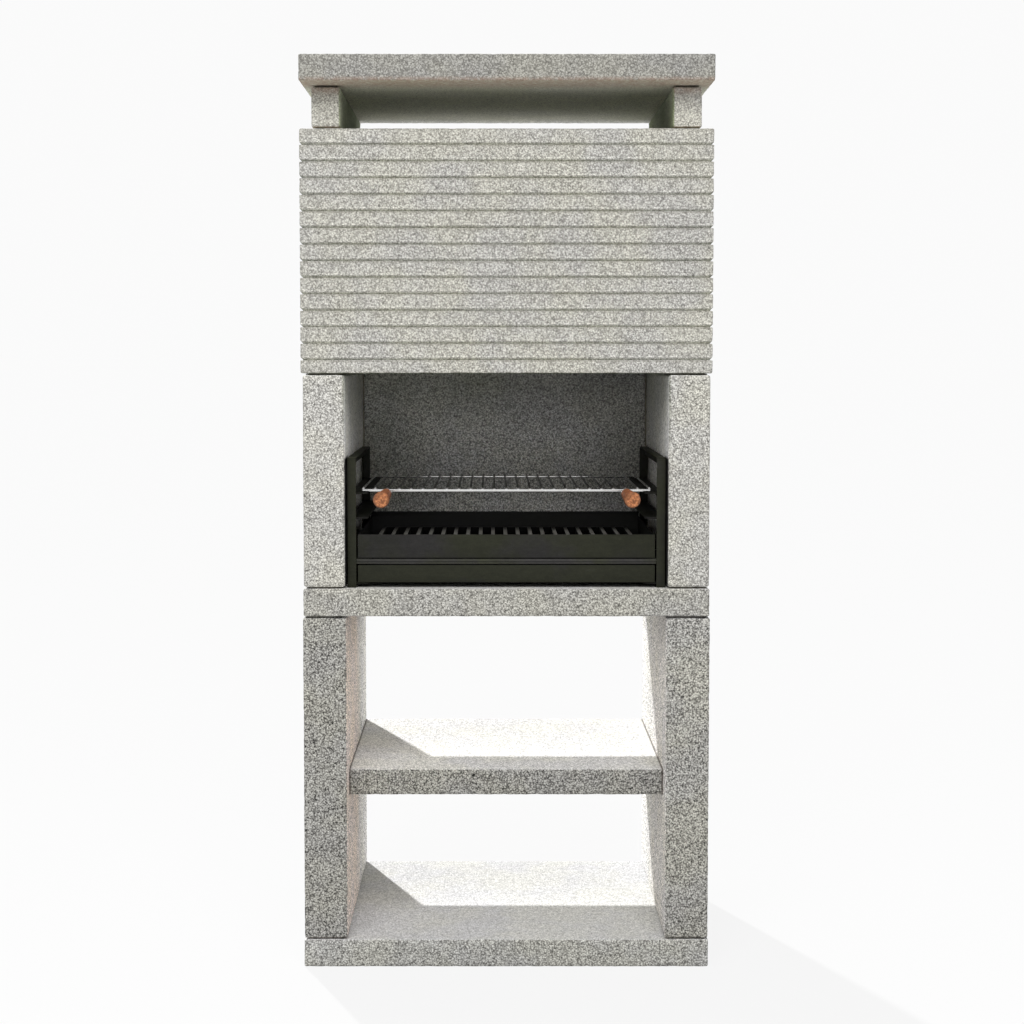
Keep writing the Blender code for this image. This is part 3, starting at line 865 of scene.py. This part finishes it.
class OpenEdge:
    """The hood's open edge, carried on ring by ring with its back kept flat."""

    def __init__(self, low, high, inset, level):
        self.hood = settings("hood")
        self.middle = (low.x + high.x) / 2
        self.back = high.y
        self.half = (high.x - low.x) / 2
        self.depth = high.y - low.y
        self.inset = inset
        self.level = level

    def shrink(self, inset, before):
        """Move the edge from one inset from the full outline to another."""
        across = (self.half - inset) / (self.half - before)
        along = (self.depth - inset) / (self.depth - before)
        centre = (self.middle, self.back, self.level)
        bpy.ops.transform.resize(value=(across, along, 1), center_override=centre)

    def ring(self, inset, rise):
        """Carry the edge on to an inset and a rise in height."""
        bpy.ops.mesh.extrude_edges_move()
        self.shrink(inset, self.inset)
        bpy.ops.transform.translate(value=(0, 0, rise))
        self.inset, self.level = inset, self.level + rise

    def band(self, height, rows):
        """A plain face of a height."""
        for _ in range(rows):
            self.ring(0, height / rows)

    def mouth(self):
        """The slope from a groove's depth out to the next band's lower edge."""
        deep, tall, edge = self.hood.groove_depth, self.hood.groove_height, self.hood.arris
        share = edge / deep
        self.ring(deep * 0.55, tall * 0.45)
        self.ring(deep * share * 0.6, tall * (0.55 - share * 0.6))
        self.ring(0, tall * share * 0.6 + edge)

    def ledge(self):
        """A band's upper edge and the ledge behind it."""
        deep, edge = self.hood.groove_depth, self.hood.arris
        self.ring(edge * 0.3, edge * 0.7)
        self.ring(edge, edge * 0.3)
        self.ring(deep * 0.6, 0)
        self.ring(deep, 0)


class BARBECUE_OT_cast_hood(bpy.types.Operator):
    """Cast the hollow hood with its rows of grooves"""

    bl_idname = "barbecue.cast_hood"
    bl_label = "Cast the hood"

    def execute(self, context):
        stone, hood = settings("stone"), settings("hood")
        low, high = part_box("hood")
        first, pitch = groove_rows()
        piece = self.outline(low, high, stone)

        # One groove and the band above it, repeated up to the top groove
        edit(piece)
        pick(piece, "EDGE", lambda item: True)
        rim = OpenEdge(low, high, hood.groove_depth, first)
        rim.shrink(hood.groove_depth, 0)
        rim.mouth()
        rim.band(pitch - hood.groove_height - 2 * hood.arris, 4)
        rim.ledge()
        leave()
        repeat(piece, hood.groove_count - 1, (0, 0, pitch), 0.0001)

        # The top groove, top band, rim and flue
        edit(piece)
        level = first + pitch * (hood.groove_count - 1)

        def topmost(item):
            return item.is_boundary and all(abs(end.co.z - level) < hood.arris / 4 for end in item.verts)

        pick(piece, "EDGE", topmost)
        rim = OpenEdge(low, high, hood.groove_depth, level)
        rim.mouth()
        rim.band(hood.top_band - hood.arris - stone.edge_round, 3)
        self.close(rim, low, high, stone.edge_round)
        weather(piece, corner_planes(low, high), stone.relief, stone.chip_depth)
        smooth(piece, 50)
        finish_piece(piece, "hood", "masonry", stones["hood"])
        return {"FINISHED"}

    def outline(self, low, high, stone):
        """The hood's outline as a ring of edges with rounded corners, at the lowest groove."""
        middle = (low + high) / 2
        size = high - low
        place = (middle.x, middle.y, groove_rows()[0])
        piece = start("hood_casting", bpy.ops.mesh.primitive_plane_add, size=1, location=place)
        edit(piece)
        pick_all()
        bpy.ops.transform.resize(value=(size.x, size.y, 1), center_override=place)
        bpy.ops.mesh.bevel(offset=stone.edge_round, segments=3, affect="VERTICES")
        pick_all()
        bpy.ops.mesh.delete(type="ONLY_FACE")
        for axis in (0, 1):
            run = size[axis] - 2 * stone.edge_round
            pick(piece, "EDGE", lambda edge: abs((edge.verts[0].co - edge.verts[1].co)[axis]) > run * 0.9)
            bpy.ops.mesh.subdivide(number_cuts=round(run / (stone.grid * 1.1)) - 1)
        leave()
        return piece

    def close(self, rim, low, high, rounding):
        """Carry the open top edge over the rim, down the flue and out to the bottom groove."""
        hood = rim.hood
        middle = Vector(((low.x + high.x) / 2, (low.y + high.y) / 2, 0))
        outer = Vector(((high.x - low.x) / 2, (high.y - low.y) / 2))
        inner = outer - Vector((hood.side_wall, hood.end_wall))
        inset = Vector((rounding, rounding))
        rim_start, rim_end = outer - inset, inner + inset
        first = low.z + hood.bottom_band
        size, level = outer.copy(), rim.level

        def carry(target, height):
            """Carry the edge on to half sizes and a height."""
            nonlocal size, level
            bpy.ops.mesh.extrude_edges_move()
            share = (target.x / size.x, target.y / size.y, 1)
            bpy.ops.transform.resize(value=share, center_override=middle)
            bpy.ops.transform.translate(value=(0, 0, height - level))
            size, level = target.copy(), height

        def face(begin, end, bottom, top, rows):
            """A flat face in rows."""
            for row in range(1, rows + 1):
                carry(begin.lerp(end, row / rows), bottom + (top - bottom) * row / rows)

        def turn(begin, end, flat, rise, upright):
            """A quarter round to or from a flat level, which sets off across or upright."""
            for angle in (30, 60, 90):
                sine, cosine = math.sin(math.radians(angle)), math.cos(math.radians(angle))
                across, left = (1 - cosine, 1 - sine) if upright else (sine, 1 - cosine)
                carry(begin.lerp(end, across), flat + rise * left)

        turn(outer, rim_start, high.z, -rounding, True)
        face(rim_start, rim_end, high.z, high.z, 10)
        turn(rim_end, inner, high.z, -rounding, False)
        face(inner, inner, high.z - rounding, low.z + rounding, 14)
        turn(inner, rim_end, low.z, rounding, True)
        face(rim_end, rim_start, low.z, low.z, 10)
        turn(rim_start, outer, low.z, rounding, False)
        face(outer, outer, low.z + rounding, first - hood.arris, 3)
        rim.inset, rim.level = 0.0, level
        rim.ledge()
        pick_all()
        bpy.ops.mesh.remove_doubles(threshold=0.0002)
        bpy.ops.mesh.normals_make_consistent(inside=False)
        leave()


class BARBECUE_OT_lay_mortar(bpy.types.Operator):
    """Lay the recessed mortar beds between the stones"""

    bl_idname = "barbecue.lay_mortar"
    bl_label = "Lay the mortar"

    def execute(self, context):
        # The corner joints beside the back wall get painted light on their front part.
        bed, corner = mortar_finish("mortar", 1.0), mortar_finish("corner_mortar", 4.5)
        for name in sorted(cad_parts):
            if not name.endswith("_joint"):
                continue
            low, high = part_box(name)
            piece = grid_box(name, low, high, rounding=0.0004, step=0.007, segments=1)
            weather(piece, corner_planes(low, high), relief=0.0, chips=0.0015)
            smooth(piece)
            finish_piece(piece, name, "masonry", corner if "t_back_wall" in name else bed)
        return {"FINISHED"}


# Iron insert


def dressed_copy(node, rounding, segments=2):
    """A copy of a node's mesh with clean faces and broken edges."""
    bpy.ops.object.select_all(action="DESELECT")
    piece = bpy.data.objects.new(node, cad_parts[node].data.copy())
    bpy.context.scene.collection.objects.link(piece)
    piece.data.materials.clear()
    edit(piece)
    pick_all()
    bpy.ops.mesh.remove_doubles(threshold=0.00001)
    bpy.ops.mesh.dissolve_limited(angle_limit=math.radians(1))
    leave()
    soften = piece.modifiers.new("soften", "BEVEL")
    soften.width = rounding
    soften.segments = segments
    soften.limit_method = "ANGLE"
    soften.angle_limit = math.radians(50)
    apply_all(piece)
    smooth(piece)
    return piece


class BARBECUE_OT_weld_frames(bpy.types.Operator):
    """Roll the angle irons and rails of the two side frames"""

    bl_idname = "barbecue.weld_frames"
    bl_label = "Weld the side frames"

    def execute(self, context):
        iron = settings("iron")
        finish = paint_finish("frame_paint", 0.62, tone=1.12)
        rail_finish = paint_finish("rail_paint", 0.46, tone=2.15, lean=0.25)
        # Painted shade: the rack ledges and runners get a darker paint, as they lie in the chamber's shade.
        shaded_paint = paint_finish("ledge_paint", tone=0.42, dusty=0.03)
        parts = ("front_post", "rear_post", "top_bar", "upper_rack_ledge", "lower_rack_ledge",
                 "tray_runner", "drawer_runner")
        names = [f"{label}_{part}" for label, _ in SIDES for part in parts] + ["front_rail", "rear_rail"]
        for name in names:
            piece = dressed_copy(name, iron.edge_round)
            if name == "front_rail":
                self.cut_seam(piece)
            look = finish
            if "rail" in name:
                look = rail_finish
            elif "ledge" in name or "runner" in name:
                look = shaded_paint
            finish_piece(piece, name, "masonry", look)
        return {"FINISHED"}

    def cut_seam(self, rail):
        """Cut the fine groove that runs along the front rail."""
        low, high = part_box("front_rail")
        middle = low.z + (high.z - low.z) * 0.42
        half, depth, clear = 0.0009, 0.0016, 0.001
        carve(rail, (low.x - clear, low.y - clear, middle - half),
              (high.x + clear, low.y + depth, middle + half))


class BARBECUE_OT_fold_pans(bpy.types.Operator):
    """Fold the charcoal tray and the ash drawer"""

    bl_idname = "barbecue.fold_pans"
    bl_label = "Fold the tray and drawer"

    def execute(self, context):
        iron = settings("iron")
        for name, body, warmth, look in (
            ("charcoal_tray", "tray", 0.52, {"dusty": 0.3, "tone": 1.12, "lean": 0.42}),
            ("ash_drawer", "drawer", 0.66, {"dusty": 0.1, "tone": 1.05, "lean": 0.2}),
        ):
            finish = paint_finish(f"{body}_paint", warmth, charred=True, **look)
            piece = dressed_copy(name, iron.edge_round)
            finish_piece(piece, name, body, finish)
        return {"FINISHED"}


class BARBECUE_OT_cast_grate(bpy.types.Operator):
    """Cast the charcoal grate"""

    bl_idname = "barbecue.cast_grate"
    bl_label = "Cast the grate"

    def execute(self, context):
        piece = dressed_copy("charcoal_grate", rounding=0.0022, segments=3)
        finish_piece(piece, "charcoal_grate", "grate", grate_finish())
        return {"FINISHED"}


# Cooking rack and grips


def straight_rod(name, diameter, sides, first, last, end_round):
    """A round rod with softened ends between two points."""
    first, last = Vector(first), Vector(last)
    line = last - first
    turn = line.to_track_quat("Z", "Y").to_euler()
    piece = start(name, bpy.ops.mesh.primitive_cylinder_add, vertices=sides, radius=diameter / 2,
                  depth=line.length, location=(first + last) / 2, rotation=turn)
    edit(piece)
    heading = line.normalized()
    pick(piece, "FACE", lambda face: abs(face.normal.dot(heading)) > 0.99)
    if end_round:
        bpy.ops.mesh.bevel(offset=end_round, segments=2, affect="EDGES")
    leave()
    return piece


def shank_line(side):
    """A shank's middle under the front rod, and the direction it points in."""
    rack = settings("rack")
    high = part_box("cooking_rack")[1]
    level = high.z - rack.wire - rack.rod * 1.5 + rack.weld_depth * 2
    place = Vector((side * (high.x - rack.shank_inset), high.y - rack.rod / 2 - rack.reach, level))
    splay, droop = math.radians(2.3), math.radians(2.1)
    heading = Vector((side * math.sin(splay), -math.cos(splay) * math.cos(droop), -math.sin(droop)))
    return place, heading.normalized()


class BARBECUE_OT_weld_rack(bpy.types.Operator):
    """Weld the wires, rods and shanks of the cooking rack"""

    bl_idname = "barbecue.weld_rack"
    bl_label = "Weld the cooking rack"

    def execute(self, context):
        rack = settings("rack")
        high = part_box("cooking_rack")[1]
        half = high.x
        back = high.y - rack.rod / 2
        front = back - rack.reach
        wire_level = high.z - rack.wire / 2
        level = wire_level - (rack.rod + rack.wire) / 2 + rack.weld_depth
        rods = [
            straight_rod("cross_rod", rack.rod, 24, (-half, y, level), (half, y, level), 0.0008)
            for y in (front, back)
        ]
        first = -half + rack.wire_inset
        pitch = -2 * first / (rack.wire_count - 1)
        wire = straight_rod("wire", rack.wire, 14, (first, front - rack.wire_overhang, wire_level),
                            (first, back + rack.wire_overhang, wire_level), 0.0006)
        welds = [self.weld(first, y, level + rack.rod / 2, rack) for y in (front, back)]
        for piece in (wire, *welds):
            repeat(piece, rack.wire_count, (pitch, 0, 0))
        shanks = []
        for _, side in SIDES:
            place, heading = shank_line(side)
            shanks.append(self.shank(side, place, heading, rack))
            shanks.append(self.weld(place.x - side * rack.rod, front, place.z + rack.rod / 2, rack, 1.3))
        piece = join(rods[0], [rods[1], wire, *welds, *shanks])
        smooth(piece)
        finish_piece(piece, "cooking_rack", "rack", chrome_finish())
        return {"FINISHED"}

    def shank(self, side, place, heading, rack):
        """A rod that is straight inside the grip and bent in towards the middle under the cross rod."""
        bend = place + heading * rack.shank_bare * 0.85
        end = place + heading * (rack.shank_bare + rack.shank_grip)
        piece = straight_rod("shank", rack.rod, 24, bend, end, 0.0)
        edit(piece)
        pick(piece, "FACE", lambda face: face.normal.dot(heading) < -0.99)
        run = rack.shank_bare * 0.85 + rack.shank_tail
        inwards = Vector((-side * math.tan(math.radians(30)), 0, 0))
        for share, lean in ((0.22, inwards), (0.22, inwards), (0.56, Vector())):
            bpy.ops.mesh.extrude_region_move()
            bpy.ops.transform.translate(value=(lean - heading) * run * share)
        leave()
        return piece

    def weld(self, x, y, z, rack, share=1.0):
        """A small weld where two rods cross."""
        wide = rack.wire * 1.35 * share
        low = Vector((x - wide / 2, y - wide / 2, z - 0.0011 * share))
        nugget = start_box("weld", low, low + Vector((wide, wide, 0.0022 * share)))
        edit(nugget)
        pick_all()
        bpy.ops.mesh.bevel(offset=0.0008 * share, segments=2, affect="EDGES")
        leave()
        return nugget


class BARBECUE_OT_turn_grips(bpy.types.Operator):
    """Turn the two wooden grips"""

    bl_idname = "barbecue.turn_grips"
    bl_label = "Turn the grips"

    def execute(self, context):
        rack, grip = settings("rack"), settings("grip")
        for label, side in SIDES:
            node = f"{label}_grip"
            place, heading = shank_line(side)
            root = place + heading * rack.shank_bare
            piece = self.turned(node, root, heading, self.profile(grip))
            smooth(piece, 35)
            middle = root + heading * grip.long / 2
            wood = wood_finish(f"{node}_wood", middle, heading)
            finish_piece(piece, node, "rack", wood)
        return {"FINISHED"}

    def profile(self, grip):
        """Radius and distance from the root, from the free end's middle to the bore's end."""
        end, waist, root, bore = (size / 2 for size in (grip.end, grip.waist, grip.root, grip.bore))
        long, line, line_reach = grip.long, 0.0005, 0.012
        flat = end - grip.end_round
        rings = [(0.0015, long), (flat * 0.55, long - line / 2), (flat * 0.60, long - line),
                 (flat * 0.65, long - line / 2)]
        for angle in range(0, 105, 15):
            turn = math.radians(angle)
            fall = grip.end_round * (1 - math.cos(turn))
            rings.append((flat + grip.end_round * math.sin(turn), long - fall))
        turned_lines = (0.90, 0.84, 0.14)
        rows = 39
        for row in range(1, rows + 1):
            share = 0.96 - 0.94 * row / rows
            if share > grip.waist_share:
                part = (share - grip.waist_share) / (1 - grip.waist_share)
                radius = waist + (end - waist) * part ** 1.15
            else:
                radius = root + (waist - root) * (share / grip.waist_share) ** 0.9
            near = min(abs(share - place) for place in turned_lines)
            rings.append((radius - line * max(0.0, 1 - near / line_reach), long * share))
        return [*rings, (root - 0.0002, 0.0006), (root - 0.0009, 0), (bore + 0.0008, 0), (bore, 0.0008),
                (bore, grip.bore_depth)]

    def turned(self, name, root, heading, rings):
        """Carry a ring of edges along a profile."""
        radius, away = rings[0]
        turn = heading.to_track_quat("Z", "Y").to_euler()
        piece = start(name, bpy.ops.mesh.primitive_circle_add, vertices=40, radius=radius,
                      location=root + heading * away, rotation=turn)
        edit(piece)
        pick_all()
        for target, distance in rings[1:]:
            bpy.ops.mesh.extrude_edges_move()
            bpy.ops.transform.translate(value=heading * (distance - away))
            share = target / radius
            bpy.ops.transform.resize(value=(share, share, share), center_override=root + heading * distance)
            radius, away = target, distance
        pick(piece, "EDGE", lambda edge: edge.is_boundary)
        bpy.ops.mesh.fill_holes(sides=0)
        pick_all()
        bpy.ops.mesh.normals_make_consistent(inside=False)
        leave()
        return piece


# Stage


class BARBECUE_OT_set_stage(bpy.types.Operator):
    """Set up the camera, the lights, the floor and the sky"""

    bl_idname = "barbecue.set_stage"
    bl_label = "Set the stage"

    def execute(self, context):
        stage = settings("stage")
        scene = context.scene
        scene.view_settings.view_transform = "Standard"
        self.camera(scene, stage)
        self.lights(stage)
        self.floor(stage)
        self.sky(scene, stage)
        return {"FINISHED"}

    def camera(self, scene, stage):
        """A camera where the photograph was taken from."""
        turn = (math.pi / 2 - stage.camera_pitch, 0, 0)
        bpy.ops.object.camera_add(location=stage.camera_place, rotation=turn)
        camera = bpy.context.object
        camera.data.sensor_width = 36
        camera.data.lens = stage.lens
        camera.data.shift_x, camera.data.shift_y = stage.shift
        scene.camera = camera

    def lights(self, stage):
        """A wide soft light above the front, and a sun behind on the left."""
        middle = Vector((0, 0, 0.9))
        aim = (middle - Vector(stage.key_place)).to_track_quat("-Z", "Y").to_euler()
        bpy.ops.object.light_add(type="AREA", location=stage.key_place, rotation=aim)
        bpy.context.object.visible_glossy = False
        key = bpy.context.object.data
        key.shape = "RECTANGLE"
        key.size, key.size_y = stage.key_size
        key.energy = stage.key
        aim = Vector(stage.sun_travel).to_track_quat("-Z", "Y").to_euler()
        bpy.ops.object.light_add(type="SUN", rotation=aim)
        sun = bpy.context.object.data
        sun.energy = stage.sun
        sun.angle = math.radians(1.5)

    def floor(self, stage):
        """A pale floor that stays near white to the camera and keeps a soft shadow."""
        bpy.ops.mesh.primitive_plane_add(size=600, location=(0, 0, cad_box[0][2]))
        floor = bpy.context.object
        floor.name = "studio_floor"
        constants = {"Base Color": (*stage.floor, 1), "Roughness": 1.0, "Specular IOR Level": 0.0}
        look = Finish("floor_paint", constants)
        glow = look.node("ShaderNodeEmission", {}, {"Color": (1, 1, 1, 1), "Strength": 1.0})
        look.show(Value(look, look.shader.outputs[0]), glow, look.seen() * 0.87, "Material Output")
        floor.data.materials.append(look.material)

    def sky(self, scene, stage):
        """An even light from all round that looks white to the camera."""
        world = bpy.data.worlds.new("studio_sky")
        world.use_nodes = True
        scene.world = world
        look = Tree(world.node_tree)
        even = look.node("ShaderNodeBackground", {}, {"Color": (1, 1, 1, 1), "Strength": stage.sky})
        white = look.node("ShaderNodeBackground", {}, {"Color": (0.96, 0.96, 0.96, 1)})
        look.show(even, white, look.seen(), "World Output")


class BARBECUE_PT_panel(bpy.types.Panel):
    """The steps and settings in the 3D view's sidebar"""

    bl_idname = "BARBECUE_PT_panel"
    bl_label = "Masonry barbecue"
    bl_space_type = "VIEW_3D"
    bl_region_type = "UI"
    bl_category = "Barbecue"

    def draw(self, context):
        for step in STEPS:
            self.layout.operator(step.bl_idname)
        for name, group in GROUPS.items():
            box = self.layout.box()
            box.label(text=name.capitalize())
            for field in group.__annotations__:
                box.prop(settings(name), field)


GROUPS = {
    "stone": StoneSettings,
    "hood": HoodSettings,
    "iron": IronSettings,
    "rack": RackSettings,
    "grip": GripSettings,
    "stage": StageSettings,
}
STEPS = (
    BARBECUE_OT_set_stage,
    BARBECUE_OT_cast_stones,
    BARBECUE_OT_cast_hood,
    BARBECUE_OT_lay_mortar,
    BARBECUE_OT_weld_frames,
    BARBECUE_OT_fold_pans,
    BARBECUE_OT_cast_grate,
    BARBECUE_OT_weld_rack,
    BARBECUE_OT_turn_grips,
)
stones = {}


def register():
    """Make the settings, steps and panel known to Blender."""
    for group in GROUPS.values():
        bpy.utils.register_class(group)
    for name, group in GROUPS.items():
        setattr(bpy.types.Scene, f"barbecue_{name}", bpy.props.PointerProperty(type=group))
    for step in (*STEPS, BARBECUE_PT_panel):
        bpy.utils.register_class(step)


def unregister():
    """Take the settings, steps and panel away again."""
    for step in (BARBECUE_PT_panel, *reversed(STEPS)):
        bpy.utils.unregister_class(step)
    for name, group in GROUPS.items():
        delattr(bpy.types.Scene, f"barbecue_{name}")
        bpy.utils.unregister_class(group)


def main():
    """Run every step."""
    register()
    stones.update(stone_materials())
    bpy.ops.barbecue.set_stage()
    bpy.ops.barbecue.cast_stones()
    bpy.ops.barbecue.cast_hood()
    bpy.ops.barbecue.lay_mortar()
    bpy.ops.barbecue.weld_frames()
    bpy.ops.barbecue.fold_pans()
    bpy.ops.barbecue.cast_grate()
    bpy.ops.barbecue.weld_rack()
    bpy.ops.barbecue.turn_grips()


if __name__ == "__main__":
    main()
